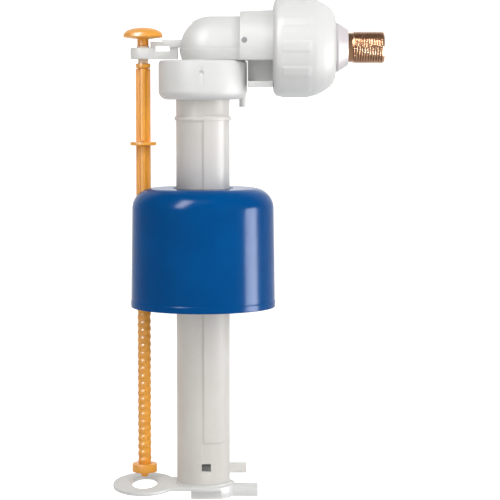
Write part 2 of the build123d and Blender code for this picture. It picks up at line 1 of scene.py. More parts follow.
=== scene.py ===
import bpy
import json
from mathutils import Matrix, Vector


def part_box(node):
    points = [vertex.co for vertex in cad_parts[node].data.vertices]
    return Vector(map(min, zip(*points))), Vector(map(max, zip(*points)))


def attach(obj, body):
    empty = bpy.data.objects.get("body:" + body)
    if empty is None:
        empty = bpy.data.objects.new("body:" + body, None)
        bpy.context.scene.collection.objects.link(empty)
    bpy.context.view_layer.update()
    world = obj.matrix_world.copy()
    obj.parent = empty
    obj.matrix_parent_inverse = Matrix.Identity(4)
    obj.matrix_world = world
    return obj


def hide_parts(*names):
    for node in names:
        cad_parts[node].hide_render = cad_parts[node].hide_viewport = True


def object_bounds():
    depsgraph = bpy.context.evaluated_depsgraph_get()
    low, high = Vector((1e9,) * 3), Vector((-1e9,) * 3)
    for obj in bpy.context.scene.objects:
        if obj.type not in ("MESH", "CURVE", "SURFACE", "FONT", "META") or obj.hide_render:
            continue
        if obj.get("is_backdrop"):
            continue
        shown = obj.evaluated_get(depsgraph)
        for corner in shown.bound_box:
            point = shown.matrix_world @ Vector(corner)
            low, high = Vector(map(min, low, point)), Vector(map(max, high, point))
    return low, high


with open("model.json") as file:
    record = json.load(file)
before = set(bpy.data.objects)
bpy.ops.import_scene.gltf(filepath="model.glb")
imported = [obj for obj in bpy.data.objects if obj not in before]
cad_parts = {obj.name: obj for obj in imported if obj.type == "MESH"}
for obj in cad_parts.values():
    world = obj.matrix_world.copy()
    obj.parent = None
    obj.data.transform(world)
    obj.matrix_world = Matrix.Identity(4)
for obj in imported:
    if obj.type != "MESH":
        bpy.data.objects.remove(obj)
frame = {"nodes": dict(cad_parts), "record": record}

"""Looks of a side-entry toilet fill valve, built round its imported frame.

Lengths inside the classes are millimetres, in the frame's own axes: X along the inlet, towards the
supply, Z up. Meshes are written in metres.
"""
import json
import logging
import math
from dataclasses import dataclass
from enum import Enum
from typing import Callable, Sequence

import bmesh
import bpy
import numpy as np
from mathutils import Vector

MM = 0.001
LOG = logging.getLogger("fill_valve")
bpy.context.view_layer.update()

Array = np.ndarray
Shaper = Callable[[Array, Array, Array], Array]


class Axis(Enum):
    """Direction that a turned piece is turned about."""

    INLET = "x"
    UPRIGHT = "z"


# ---------------------------------------------------------------- meshes


def node_box(node: str) -> tuple[Array, Array]:
    """Lowest and highest corner of a frame node, in millimetres."""
    low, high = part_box(node)
    return np.array(low) / MM, np.array(high) / MM


def softened(
    points: Sequence[tuple[float, float]], radius: float, steps: int = 4, closed: bool = True
) -> Array:
    """Rounds the corners of an outline.

    Each corner becomes a quadratic curve from a point on the side before it to a point on the side
    after it. Both lie one radius away from the corner, or 0.45 of the side where that is less.

    Args:
        points: corners, in order.
        radius: distance from a corner at which its rounding starts.
        steps: points along each rounding.
        closed: whether the last corner joins the first. If not, the ends stay sharp.

    Returns:
        The rounded outline, one row per point.
    """
    corner = np.array(points, float)
    before = np.roll(corner, 1, axis=0) - corner
    after = np.roll(corner, -1, axis=0) - corner
    reach_before = np.linalg.norm(before, axis=1)
    reach_after = np.linalg.norm(after, axis=1)
    start = corner + before * np.minimum(radius / reach_before, 0.45)[:, None]
    end = corner + after * np.minimum(radius / reach_after, 0.45)[:, None]
    t = np.linspace(0, 1, steps)[None, :, None]
    curve = (1 - t) ** 2 * start[:, None] + 2 * t * (1 - t) * corner[:, None] + t**2 * end[:, None]
    if closed:
        return curve.reshape(-1, 2)
    return np.vstack([corner[:1], curve[1:-1].reshape(-1, 2), corner[-1:]])


def densified(outline: Array, step: float) -> Array:
    """Adds points along an open outline so that no two are further apart than step.

    The outline is measured along its length and read again at even distances, together with the
    distances of its own points, so corners stay where they are.
    """
    length = np.concatenate([[0], np.cumsum(np.linalg.norm(np.diff(outline, axis=0), axis=1))])
    even = np.linspace(0, length[-1], max(2, int(length[-1] / step)))
    at = np.unique(np.round(np.concatenate([length, even]), 5))
    return np.column_stack([np.interp(at, length, outline[:, 0]), np.interp(at, length, outline[:, 1])])


def mesh_from_grid(name: str, points: Array, closed_rows: bool, closed_columns: bool) -> bpy.types.Object:
    """Makes a mesh of four-sided faces from a grid of points in millimetres.

    Args:
        name: the piece's name.
        points: array of rows, columns and three coordinates.
        closed_rows: whether the last row joins the first.
        closed_columns: whether the last column joins the first.

    Returns:
        The object, linked to the scene, with its doubled points merged. Its faces point outwards
        if the mesh is closed.
    """
    rows, columns = points.shape[:2]
    number = np.arange(rows * columns).reshape(rows, columns)
    row_next = np.roll(number, -1, axis=0)
    column_next = np.roll(number, -1, axis=1)
    both_next = np.roll(row_next, -1, axis=1)
    last_row = rows if closed_rows else rows - 1
    last_column = columns if closed_columns else columns - 1
    quads = np.stack([number, column_next, both_next, row_next], axis=-1)[:last_row, :last_column]
    mesh = bpy.data.meshes.new(name)
    mesh.from_pydata((points.reshape(-1, 3) * MM).tolist(), [], quads.reshape(-1, 4).tolist())
    piece = bpy.data.objects.new(name, mesh)
    bpy.context.scene.collection.objects.link(piece)
    tidy_mesh(piece)
    return piece


def tidy_mesh(piece: bpy.types.Object, smooth_below: float = 32.0) -> None:
    """Merges doubled points, makes the faces agree and keeps edges sharper than the angle.

    Args:
        piece: the object to clean.
        smooth_below: largest angle between faces that is shaded smooth, in degrees.
    """
    work = bmesh.new()
    work.from_mesh(piece.data)
    bmesh.ops.remove_doubles(work, verts=work.verts, dist=2e-6)
    bmesh.ops.dissolve_degenerate(work, dist=1e-7, edges=work.edges)
    bmesh.ops.recalc_face_normals(work, faces=work.faces)
    for face in work.faces:
        face.smooth = True
    limit = math.radians(smooth_below)
    for edge in work.edges:
        edge.smooth = edge.calc_face_angle(0.0) < limit
    work.to_mesh(piece.data)
    work.free()
    piece.data.update()


def turned(
    name: str,
    outline: Array,
    axis: Axis,
    centre_x: float = 0.0,
    segments: int = 128,
    closed: bool = True,
    shaper: Shaper | None = None,
) -> bpy.types.Object:
    """Carries an outline round an axis.

    A point of the outline is a distance along the axis and a radius. At angle a it lies at radius
    times cosine a and radius times sine a across the axis.

    Args:
        name: the piece's name.
        outline: rows of (distance along the axis, radius).
        axis: the axis that it is turned about.
        centre_x: where an upright axis stands.
        segments: steps round the axis.
        closed: whether the outline's last point joins its first.
        shaper: changes the radius by (distance, radius, angle), for ribs and threads.

    Returns:
        The new object.
    """
    angle = np.linspace(0, 2 * np.pi, segments, endpoint=False)[None, :]
    along = np.repeat(outline[:, :1], segments, axis=1)
    radius = np.repeat(outline[:, 1:], segments, axis=1)
    angle = np.repeat(angle, len(outline), axis=0)
    if shaper is not None:
        radius = shaper(along, radius, angle)
    if axis is Axis.INLET:
        points = np.stack([along, radius * np.sin(angle), radius * np.cos(angle)], axis=-1)
    else:
        points = np.stack([centre_x + radius * np.cos(angle), radius * np.sin(angle), along], axis=-1)
    return mesh_from_grid(name, points, closed, True)


def settled(piece: bpy.types.Object) -> bpy.types.Object:
    """Applies the piece's modifiers to its mesh."""
    graph = bpy.context.evaluated_depsgraph_get()
    mesh = bpy.data.meshes.new_from_object(piece.evaluated_get(graph))
    piece.modifiers.clear()
    piece.data = mesh
    return piece


def cut(piece: bpy.types.Object, cutters: Sequence[bpy.types.Object]) -> bpy.types.Object:
    """Cuts closed shapes out of a piece and removes them."""
    for cutter in cutters:
        modifier = piece.modifiers.new("cut", "BOOLEAN")
        modifier.operation = "DIFFERENCE"
        modifier.solver = "EXACT"
        modifier.object = cutter
        settled(piece)
        bpy.data.objects.remove(cutter)
    tidy_mesh(piece)
    return piece


def eased_copy(node: str, width: float) -> bpy.types.Object:
    """Copies a frame node and rounds its edges.

    Args:
        node: the frame node.
        width: width of the rounding, in millimetres.

    Returns:
        The new object, which stands where the node does.
    """
    source = frame["nodes"][node]
    piece = bpy.data.objects.new(f"{node}_moulding", source.data.copy())
    piece.data.materials.clear()
    bpy.context.scene.collection.objects.link(piece)
    work = bmesh.new()
    work.from_mesh(piece.data)
    bmesh.ops.remove_doubles(work, verts=work.verts, dist=1e-6)
    bmesh.ops.dissolve_degenerate(work, dist=1e-7, edges=work.edges)
    bmesh.ops.dissolve_limit(work, angle_limit=math.radians(0.6), verts=work.verts, edges=work.edges)
    work.to_mesh(piece.data)
    work.free()
    bevel = piece.modifiers.new("edges", "BEVEL")
    bevel.width = width * MM
    bevel.segments = 2
    bevel.limit_method = "ANGLE"
    bevel.angle_limit = math.radians(38)
    bevel.use_clamp_overlap = True
    settled(piece)
    tidy_mesh(piece, 35.0)
    return piece


# ---------------------------------------------------------------- shader groups


def linear(code: str) -> tuple[float, float, float, float]:
    """Turns a hexadecimal colour into linear light with full opacity."""
    values = [int(code[index : index + 2], 16) / 255 for index in (1, 3, 5)]
    light = [value / 12.92 if value <= 0.04045 else ((value + 0.055) / 1.055) ** 2.4 for value in values]
    return light[0], light[1], light[2], 1.0


class Wiring:
    """Short way to add and join nodes in a tree."""

    def __init__(self, tree: bpy.types.NodeTree) -> None:
        """Keeps the tree."""
        self.tree = tree

    def add(self, kind: str, **values: object) -> bpy.types.Node:
        """Adds a node.

        Args:
            kind: type of the node, without its "ShaderNode" start.
            values: node settings by name, or input values by their name with spaces as underscores.

        Returns:
            The new node.
        """
        node = self.tree.nodes.new(kind if kind.startswith("NodeGroup") else f"ShaderNode{kind}")
        for name, value in values.items():
            if hasattr(node, name):
                setattr(node, name, value)
            else:
                node.inputs[name.replace("_", " ")].default_value = value
        return node

    def join(self, source: bpy.types.NodeSocket, target: bpy.types.NodeSocket) -> None:
        """Joins an output to an input."""
        self.tree.links.new(source, target)

    def maths(self, operation: str, first: object, second: object = 0.0) -> bpy.types.NodeSocket:
        """Adds a Math node on two numbers or outputs and returns its output."""
        node = self.add("Math", operation=operation)
        for index, value in enumerate((first, second)):
            if isinstance(value, bpy.types.NodeSocket):
                self.join(value, node.inputs[index])
            else:
                node.inputs[index].default_value = value
        return node.outputs[0]

    def spread(
        self, value: bpy.types.NodeSocket, low: float, high: float, to: tuple[float, float]
    ) -> bpy.types.NodeSocket:
        """Maps a value from one range to another, clamped."""
        node = self.add("MapRange")
        self.join(value, node.inputs["Value"])
        for name, number in zip(("From Min", "From Max", "To Min", "To Max"), (low, high, *to)):
            node.inputs[name].default_value = number
        return node.outputs["Result"]

    def noise(self, vector: bpy.types.NodeSocket, scale: float, detail: float = 3.0) -> bpy.types.NodeSocket:
        """Adds a Noise Texture on a vector and returns its value."""
        node = self.add("TexNoise", Scale=scale, Detail=detail)
        self.join(vector, node.inputs["Vector"])
        return node.outputs["Fac"]


def new_group(
    name: str, inputs: dict[str, float], outputs: dict[str, str]
) -> tuple[Wiring, bpy.types.Node, bpy.types.Node]:
    """Starts a shader node group.

    Args:
        name: the group's name.
        inputs: number inputs with their defaults.
        outputs: outputs with their socket types.

    Returns:
        Its wiring, its input node and its output node.
    """
    tree = bpy.data.node_groups.new(name, "ShaderNodeTree")
    for label, value in inputs.items():
        socket = tree.interface.new_socket(name=label, in_out="INPUT", socket_type="NodeSocketFloat")
        socket.default_value = value
    for label, kind in outputs.items():
        tree.interface.new_socket(name=label, in_out="OUTPUT", socket_type=kind)
    wiring = Wiring(tree)
    return wiring, wiring.add("NodeGroupInput"), wiring.add("NodeGroupOutput")


def mould_group() -> bpy.types.NodeTree:
    """Skin of a moulding: fine grain, slow sink ripples and a cloudy tone."""
    wiring, given, out = new_group(
        "Moulded skin",
        {"Grain per Metre": 1500.0, "Grain": 0.5, "Ripple": 0.5},
        {"Height": "NodeSocketFloat", "Tone": "NodeSocketFloat"},
    )
    place = wiring.add("TexCoord").outputs["Object"]
    fine = wiring.add("TexNoise", Detail=2.0, Roughness=0.6)
    wiring.join(place, fine.inputs["Vector"])
    wiring.join(given.outputs["Grain per Metre"], fine.inputs["Scale"])
    slow = wiring.noise(place, 55.0, 1.0)
    grain = wiring.maths("MULTIPLY", fine.outputs["Fac"], given.outputs["Grain"])
    ripple = wiring.maths("MULTIPLY", slow, given.outputs["Ripple"])
    wiring.join(wiring.maths("ADD", grain, ripple), out.inputs["Height"])
    wiring.join(wiring.noise(place, 38.0, 4.0), out.inputs["Tone"])
    return wiring.tree


def edge_highlight_group() -> bpy.types.NodeTree:
    """Edges: a mask where the surface turns within a small radius, and the rounded normal. The mask marks
    where a lighter colour is painted on as an edge highlight.
    """
    wiring, given, out = new_group(
        "Worn edge",
        {"Radius": 0.0004, "Breakup per Metre": 400.0},
        {"Mask": "NodeSocketFloat", "Normal": "NodeSocketVector"},
    )
    bevel = wiring.add("Bevel", samples=4)
    wiring.join(given.outputs["Radius"], bevel.inputs["Radius"])
    flat = wiring.add("NewGeometry").outputs["Normal"]
    dot = wiring.add("VectorMath", operation="DOT_PRODUCT")
    wiring.join(bevel.outputs["Normal"], dot.inputs[0])
    wiring.join(flat, dot.inputs[1])
    turn = wiring.spread(dot.outputs["Value"], 0.995, 0.86, (0.0, 1.0))
    rough = wiring.add("TexNoise", Detail=3.0)
    wiring.join(wiring.add("TexCoord").outputs["Object"], rough.inputs["Vector"])
    wiring.join(given.outputs["Breakup per Metre"], rough.inputs["Scale"])
    broken = wiring.spread(rough.outputs["Fac"], 0.35, 0.6, (0.25, 1.0))
    wiring.join(wiring.maths("MULTIPLY", turn, broken), out.inputs["Mask"])
    wiring.join(bevel.outputs["Normal"], out.inputs["Normal"])
    return wiring.tree


def streak_group() -> bpy.types.NodeTree:
    """Fine lines drawn out along one direction by squeezing noise across it."""
    wiring, given, out = new_group(
        "Drawn lines",
        {"Across X": 900.0, "Across Y": 900.0, "Across Z": 12.0},
        {"Lines": "NodeSocketFloat"},
    )
    place = wiring.add("TexCoord").outputs["Object"]
    scale = wiring.add("CombineXYZ")
    for index, label in enumerate(("Across X", "Across Y", "Across Z")):
        wiring.join(given.outputs[label], scale.inputs[index])
    stretched = wiring.add("VectorMath", operation="MULTIPLY")
    wiring.join(place, stretched.inputs[0])
    wiring.join(scale.outputs["Vector"], stretched.inputs[1])
    wiring.join(wiring.noise(stretched.outputs["Vector"], 1.0, 2.0), out.inputs["Lines"])
    return wiring.tree


class Library:
    """The shared shader groups, each built once."""

    def __init__(self) -> None:
        """Builds the groups."""
        self.skin = mould_group()
        # mask and rounded normal of the edges; the mask places the painted edge highlight
        self.edge = edge_highlight_group()
        self.lines = streak_group()


class Lay(Enum):
    """Direction of the fine lines that a process leaves."""

    NONE = (0.0, 0.0, 0.0)
    UPRIGHT = (900.0, 900.0, 9.0)
    ROUND_INLET = (2600.0, 10.0, 10.0)
    ROUND_UPRIGHT = (10.0, 10.0, 1600.0)


@dataclass(frozen=True)
class Finish:
    """A finish of the valve: colour, its cloudy second tone, gloss, skin, rounded edges and a lighter colour
    painted on them as a highlight.
    """

    name: str
    slot: str
    colour: str
    shade: str
    # lighter colour painted on the edges as a highlight
    edge: str
    roughness: float
    gloss_change: float = 0.06
    metallic: float = 0.0
    coat: float = 0.0
    specular: float = 0.5
    grain_per_metre: float = 1500.0
    grain: float = 0.5
    ripple: float = 0.6
    depth: float = 0.05
    edge_radius: float = 0.35
    edge_highlight_strength: float = 0.5
    lay: Lay = Lay.NONE
    line_depth: float = 0.0
    soft: float = 0.0

    def build(self, library: Library) -> bpy.types.Material:
        """Makes the material from the shared groups.

        Args:
            library: the shared shader groups.

        Returns:
            A material with its Principled surface.
        """
        material = bpy.data.materials.new(self.name)
        material.use_nodes = True
        wiring = Wiring(material.node_tree)
        surface = material.node_tree.nodes["Principled BSDF"]
        surface.inputs["Metallic"].default_value = self.metallic
        surface.inputs["Coat Weight"].default_value = self.coat
        surface.inputs["Specular IOR Level"].default_value = self.specular
        surface.inputs["Coat Roughness"].default_value = 0.12
        if self.soft:
            surface.inputs["Subsurface Weight"].default_value = self.soft
            surface.inputs["Subsurface Radius"].default_value = (1.0, 0.9, 0.8)
            surface.inputs["Subsurface Scale"].default_value = 0.0015

        skin = wiring.add("Group", node_tree=library.skin)
        skin.inputs["Grain per Metre"].default_value = self.grain_per_metre
        skin.inputs["Grain"].default_value = self.grain
        skin.inputs["Ripple"].default_value = self.ripple
        edge = wiring.add("Group", node_tree=library.edge)
        edge.inputs["Radius"].default_value = self.edge_radius * MM

        tone = wiring.add("Mix", data_type="RGBA")
        wiring.join(wiring.spread(skin.outputs["Tone"], 0.3, 0.7, (0.0, 1.0)), tone.inputs["Factor"])
        tone.inputs["A"].default_value = linear(self.colour)
        tone.inputs["B"].default_value = linear(self.shade)
        # Painted highlight: the edges are mixed towards the lighter edge colour.
        highlighted_edge = wiring.add("Mix", data_type="RGBA")
        wiring.join(wiring.maths("MULTIPLY", edge.outputs["Mask"], self.edge_highlight_strength), highlighted_edge.inputs["Factor"])
        wiring.join(tone.outputs["Result"], highlighted_edge.inputs["A"])
        highlighted_edge.inputs["B"].default_value = linear(self.edge)
        wiring.join(highlighted_edge.outputs["Result"], surface.inputs["Base Color"])

        low, high = self.roughness - self.gloss_change, self.roughness + self.gloss_change
        wiring.join(wiring.spread(skin.outputs["Tone"], 0.25, 0.75, (low, high)), surface.inputs["Roughness"])

        height = skin.outputs["Height"]
        if self.lay is not Lay.NONE:
            lines = wiring.add("Group", node_tree=library.lines)
            for label, value in zip(("Across X", "Across Y", "Across Z"), self.lay.value):
                lines.inputs[label].default_value = value
            drawn = wiring.maths("MULTIPLY", lines.outputs["Lines"], self.line_depth)
            height = wiring.maths("ADD", height, drawn)
        bump = wiring.add("Bump", Strength=1.0, Distance=self.depth * MM)
        wiring.join(height, bump.inputs["Height"])
        wiring.join(edge.outputs["Normal"], bump.inputs["Normal"])
        wiring.join(bump.outputs["Normal"], surface.inputs["Normal"])
        return material


# In each finish the fifth colour is painted on the edges as a highlight.
WHITE = Finish(
    "white_moulding", "white_plastic", "#d5d5d4", "#cfcfcd", "#e0e0de", 0.46, specular=0.15,
    depth=0.022, soft=0.08
)
PIPE = Finish(
    "white_pipe", "pipe_plastic", "#d8d5d1", "#d1cdc7", "#e2dfdb", 0.42, specular=0.1,
    depth=0.02, lay=Lay.UPRIGHT, line_depth=0.8, grain=0.25, soft=0.08
)
BUSH = Finish("natural_bush", "bush_plastic", "#e3cbb2", "#d8bb9c", "#f0dfcd", 0.4, depth=0.02)
SEAL = Finish(
    "seal_cone", "seal_grey", "#c8c2c4", "#bcb6b9", "#d8d3d6", 0.5, depth=0.03, grain_per_metre=2200.0
)
BLUE = Finish(
    "blue_float", "blue_plastic", "#004a88", "#00447f", "#1a63a2", 0.19, 0.03, specular=0.04, depth=0.012,
    grain=0.12, ripple=0.8, edge_highlight_strength=0.3
)
ORANGE = Finish(
    "orange_rod", "orange_plastic", "#e79f30", "#dd9427", "#f6bb62", 0.42, depth=0.02,
    coat=0.1, soft=0.06, edge_highlight_strength=0.45
)
BRASS = Finish(
    "brass_tail", "brass", "#c9a488", "#8b684d", "#ecd4bd", 0.2, 0.06, metallic=1.0, depth=0.02, grain=0.1,
    ripple=0.3, lay=Lay.ROUND_INLET, line_depth=0.7, edge_radius=0.15, edge_highlight_strength=0.6
)
RUBBER = Finish(
    "black_rubber", "black_rubber", "#1b1b1c", "#242425", "#3a3a3b", 0.62, depth=0.03, grain_per_metre=2600.0
)
GREY = Finish("grey_moulding", "grey_plastic", "#a2a3a5", "#97989b", "#bfc0c2", 0.45, depth=0.03)
STEEL = Finish(
    "pin_steel", "steel", "#a7a8aa", "#8f9092", "#d8d9db", 0.28, metallic=1.0, depth=0.01, grain=0.1,
    lay=Lay.ROUND_INLET, line_depth=0.4, edge_radius=0.15
)


class Dresser:
    """Gives finishes to pieces and places them on their bodies."""

    def __init__(self) -> None:
        """Builds the shared groups and an empty store of materials."""
        self.library = Library()
        self.materials: dict[str, bpy.types.Material] = {}

    def material(self, finish: Finish) -> bpy.types.Material:
        """The finish's material, made the first time it is asked for."""
        if finish.name not in self.materials:
            self.materials[finish.name] = finish.build(self.library)
        return self.materials[finish.name]

    def dress(self, piece: bpy.types.Object, finish: Finish) -> None:
        """Puts one finish on a piece, in place of what it had."""
        piece.data.materials.clear()
        piece.data.materials.append(self.material(finish))

    def place(self, piece: bpy.types.Object, finish: Finish, body: str, *nodes: str) -> bpy.types.Object:
        """Dresses a new piece, rides it on a body and lets it stand for frame nodes.

        Args:
            piece: the new piece.
            finish: its finish.
            body: the body that it moves with.
            nodes: the frame nodes that it stands for.

        Returns:
            The piece.
        """
        self.dress(piece, finish)
        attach(piece, body)
        if nodes:
            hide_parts(*nodes)
        LOG.info("%s: %d faces on %s", piece.name, len(piece.data.polygons), body)
        return piece

    def keep(self, node: str, finish: Finish) -> None:
        """Keeps a frame node's own shape and gives it a finish."""
        self.dress(frame["nodes"][node], finish)
        LOG.info("%s: kept from the frame", node)


# ---------------------------------------------------------------- sub-assemblies


@dataclass
class InletGroup:
    """Threaded tail, conical seal and the barrel-shaped nut."""

    dresser: Dresser
    pitch: float = 1.337
    thread_depth: float = 0.6
    groove: float = 2.4
    bore: float = 5.6
    shank: float = 8.0
    flange: tuple[float, float] = (2.0, 10.4)
    ribs: int = 12
    rib_height: float = 0.35
    rib_relief: float = 0.7

    def build(self) -> None:
        """Makes and places every piece of the inlet."""
        self.dresser.place(self.tail(), BRASS, "body", "brass_tail")
        self.dresser.place(self.seal(), SEAL, "body", "wall_seal")
        self.dresser.place(self.nut(), WHITE, "body", "inlet_nut")
        self.dresser.place(eased_copy("inlet_spigot", 0.3), WHITE, "body", "inlet_spigot")
        self.dresser.keep("inlet_strainer", GREY)
        self.dresser.keep("flow_limiter", GREY)
        self.dresser.keep("spigot_o_ring", RUBBER)

    def tail(self) -> bpy.types.Object:
        """Tail with its pipe thread.

        The outline runs along the outside, round the end and back through the bore. In the threaded
        stretch the radius falls from the crest by the thread's depth times a smooth step of a
        triangle wave. The wave runs over the distance along the axis, in pitches, less the share of
        a turn, and the step leaves wide crests. The thread is shallower than the standard one.
        """
        low, high = node_box("brass_tail")
        start, end, crest = low[0], high[0], self.crest()
        root = crest - self.thread_depth
        flange, flange_r = self.flange
        outside = [(start, self.bore), (start, flange_r), (start + flange, flange_r),
                   (start + flange, self.shank), (0.0, self.shank), (0.05, root - 0.1),
                   (self.groove, root - 0.1), (self.groove + 0.5, crest), (end - 1.1, crest),
                   (end - 0.15, root - 0.1), (end, root - 0.35), (end, self.bore + 0.5),
                   (end - 0.5, self.bore)]
        outline = densified(softened(outside, 0.18, 3, closed=False), 0.12)

        def thread(along: Array, radius: Array, angle: Array) -> Array:
            """Lowers the crest along the helix."""
            wave = np.abs(((along / self.pitch - angle / (2 * np.pi)) % 1.0) * 2 - 1)
            flank = np.clip((wave - 0.4) / 0.45, 0, 1)
            cut_radius = crest - self.thread_depth * (3 * flank**2 - 2 * flank**3)
            threaded = (along > self.groove - 0.2) & (along < end) & (radius > self.bore + 0.6)
            return np.where(threaded, np.minimum(radius, cut_radius), radius)

        return turned("threaded_tail", outline, Axis.INLET, segments=112, shaper=thread)

    def crest(self) -> float:
        """Outside radius of the thread, from the inlet mount."""
        mounts = {mount["name"]: mount for mount in frame["record"]["mounts"]}
        return mounts["inlet_thread"]["dims"]["r_mm"]

    def seal(self) -> bpy.types.Object:
        """Conical washer with a small bead at its wide end, turned about the inlet."""
        low, high = node_box("wall_seal")
        wide = high[2]
        outline = [(low[0], 8.1), (low[0], wide), (low[0] + 1.3, wide), (low[0] + 1.7, wide - 0.5),
                   (high[0] - 0.3, 9.5), (high[0], 9.2), (high[0], 8.1)]
        return turned("conical_seal", softened(outline, 0.35, 4), Axis.INLET, segments=96)

    def nut(self) -> bpy.types.Object:
        """Barrel nut with broad grip ribs.

        Ribs add to the outside radius a plateau of the angle, times a plateau of the distance along
        the axis. A plateau is a product of two smooth steps.
        """
        low, high = node_box("inlet_nut")
        open_x, nose_x = low[0], high[0]
        barrel = high[2] - self.rib_relief
        shoulder = [(open_x, 20.2), (open_x, 21.6), (open_x + 0.5, 23.4), (open_x + 1.6, 24.8),
                    (open_x + 3.4, barrel), (-20.5, barrel), (-16.6, 24.6), (-12.6, 22.6), (-8.9, 19.9),
                    (-7.2, 17.7), (nose_x, 14.8), (nose_x, 11.5), (-13.3, 11.5), (-13.3, 20.0)]
        outline = densified(softened(shoulder, 1.3, 7), 0.7)

        def rib(along: Array, radius: Array, angle: Array) -> Array:
            """Raises the ribs on the outside."""
            share = np.abs((angle * self.ribs / (2 * np.pi) + 0.5) % 1.0 - 0.5) * 2
            across = np.clip((0.50 - share) / 0.20, 0, 1)
            length = np.clip((along + 34.6) / 1.4, 0, 1) * np.clip((-18.6 - along) / 2.6, 0, 1)
            height = self.rib_height * (across**2 * (3 - 2 * across)) * (length**2 * (3 - 2 * length))
            return np.where(radius > 21.0, radius + height, radius)

        return turned("barrel_nut", outline, Axis.INLET, segments=360, shaper=rib)


@dataclass
class Head:
    """Body, hood, lever, servo parts and the collar nut."""

    dresser: Dresser

    def build(self) -> None:
        """Makes and places every piece of the head."""
        place, keep = self.dresser.place, self.dresser.keep
        place(eased_copy("valve_body", 0.35), WHITE, "body", "valve_body")
        place(eased_copy("hood", 0.35), WHITE, "body", "hood")
        place(eased_copy("pilot_lever", 0.3), WHITE, "lever", "pilot_lever")
        place(eased_copy("collar_nut", 0.4), WHITE, "body", "collar_nut")
        keep("lever_pin", STEEL)
        keep("pilot_pad", RUBBER)
        keep("servo_cylinder", GREY)
        keep("pilot_o_ring", RUBBER)
        keep("servo_piston", GREY)
        keep("piston_seal", RUBBER)
        keep("seat_washer", RUBBER)
        keep("metering_pin", STEEL)
        keep("collar_seal", RUBBER)


@dataclass
class Column:
    """Standpipe with what is in it, and the base guide."""

    dresser: Dresser

    def build(self) -> None:
        """Makes and places every piece of the column."""
        place, keep = self.dresser.place, self.dresser.keep
        place(eased_copy("standpipe", 0.25), PIPE, "body", "standpipe")
        place(eased_copy("base_guide", 0.5), WHITE, "body", "base_guide")
        keep("silencer_tube", GREY)
        keep("outlet_diffuser", GREY)


@dataclass
class LevelRod:
    """Adjusting rod, its foot and its bush."""

    dresser: Dresser
    pitch: float = 4.0
    core: float = 2.3
    neck: float = 1.9
    root: float = 3.22
    crest: float = 3.5
    rib_half: float = 3.8
    rib_width: float = 1.2
    disc: tuple[float, float] = (-50.4, -48.7)
    disc_r: float = 6.75
    shoulder: float = -8.3
    rest: tuple[float, float] = (0.75, 2.9)
    screw_top: float = -107.5
    foot_pin: float = 2.15
    knob_depth: float = 5.9
    knob_rim: float = 1.7

    def build(self) -> None:
        """Makes and places the rod's pieces."""
        place = self.dresser.place
        place(self.rod(), ORANGE, "rod", "adjusting_rod")
        place(eased_copy("rod_foot", 0.3), ORANGE, "rod", "rod_foot")
        self.dresser.keep("rod_bush", BUSH)

    def rod(self) -> bpy.types.Object:
        """Knob, neck, ribbed length, disc and screw, in one turned surface.

        The outline gives the radius of the round parts. On the ribbed length the radius is the
        polar radius of a cross: the larger of two bars' half length over the cosine or half width
        over the sine, whichever is less. On the screw it rises from the root to the crest along a
        helix that goes all the way round.
        """
        low, high = node_box("adjusting_rod")
        axis_x = (low[0] + high[0]) / 2
        foot = node_box("rod_foot")[1][2]
        knob = high[0] - axis_x
        top, under = high[2], high[2] - self.knob_depth
        pin, (disc_low, disc_high), (rest_z, rest_r) = self.foot_pin, self.disc, self.rest
        shank = [(low[2], 0), (low[2], pin), (foot + 0.02, pin), (foot + 0.02, self.root),
                 (self.screw_top, self.root), (self.screw_top + 0.4, self.core), (disc_low, self.core),
                 (disc_low, self.disc_r), (disc_high, self.disc_r), (disc_high, self.core),
                 (self.shoulder - 2.4, self.core), (self.shoulder - 2.2, self.rib_half),
                 (self.shoulder, self.rib_half), (self.shoulder, self.neck), (rest_z, self.neck),
                 (rest_z, rest_r), (under, rest_r), (under, 4.0), (under + 0.8, knob - 0.4),
                 (under + 1.2, knob)]
        turn = np.linspace(0, 1, 14)
        rim_z, rim_r = under + self.knob_rim, knob - 0.1
        dome = np.column_stack([rim_z + (top - rim_z) * np.sin(turn * np.pi / 2) ** 0.9,
                                rim_r * np.cos(turn * np.pi / 2)])
        outline = np.vstack([softened(shank, 0.35, 3, closed=False), dome])
        outline = densified(outline, 0.35)

        def ribs_and_screw(along: Array, radius: Array, angle: Array) -> Array:
            """Adds the cross section and the screw."""
            cosine = np.abs(np.cos(angle)) + 1e-6
            sine = np.abs(np.sin(angle)) + 1e-6
            bar = np.minimum(self.rib_half / cosine, self.rib_width / sine)
            crossbar = np.minimum(self.rib_half / sine, self.rib_width / cosine)
            cross = np.minimum(np.maximum(bar, crossbar), self.rib_half)
            between = (along > self.screw_top + 0.5) & (along < self.shoulder - 1)
            ribbed = between & (radius < self.core + 0.05)
            wave = np.abs(((along / self.pitch - angle / (2 * np.pi)) % 1.0) * 2 - 1)
            tooth = np.clip((0.66 - wave) / 0.34, 0, 1)
            screw = self.root + (self.crest - self.root) * tooth
            threaded = (along > foot + 1.0) & (along < self.screw_top - 0.5) & (radius < self.root + 0.05)
            shaped = np.where(ribbed, np.maximum(radius, cross), radius)
            return np.where(threaded, np.maximum(radius, screw), shaped)

        return turned("ribbed_rod", outline, Axis.UPRIGHT, axis_x, 96, False, ribs_and_screw)


